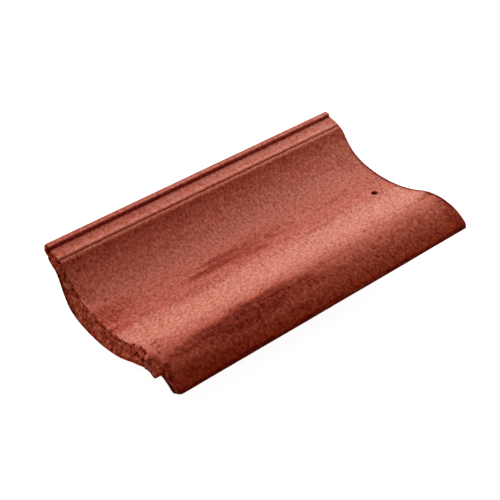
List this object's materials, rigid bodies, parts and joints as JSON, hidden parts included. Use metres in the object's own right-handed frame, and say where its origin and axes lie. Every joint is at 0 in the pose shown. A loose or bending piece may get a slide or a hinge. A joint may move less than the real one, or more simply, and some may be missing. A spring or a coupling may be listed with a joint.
{
  "type": "interlocking clay pantile",
  "caption": "Single-lap roof pantile with a pan and a roll, a ribbed underlock, an overlock lip, a thick nose, batten nibs and a nail hole.",
  "frame": {"origin": "bottom centre of the tile's box, level with the nib feet and the underside of the nose", "axes": "+Y along the tile from tail to head, up the roof slope; +X across it from underlock to overlock; +Z square to the roof, out of the weather face"},
  "size_m": [0.229, 0.3874, 0.061],
  "materials": {
    "fired_clay": "matt, granular"
  },
  "bodies": {
    "root": {"tile_body": "fired_clay"}
  },
  "joints": []
}
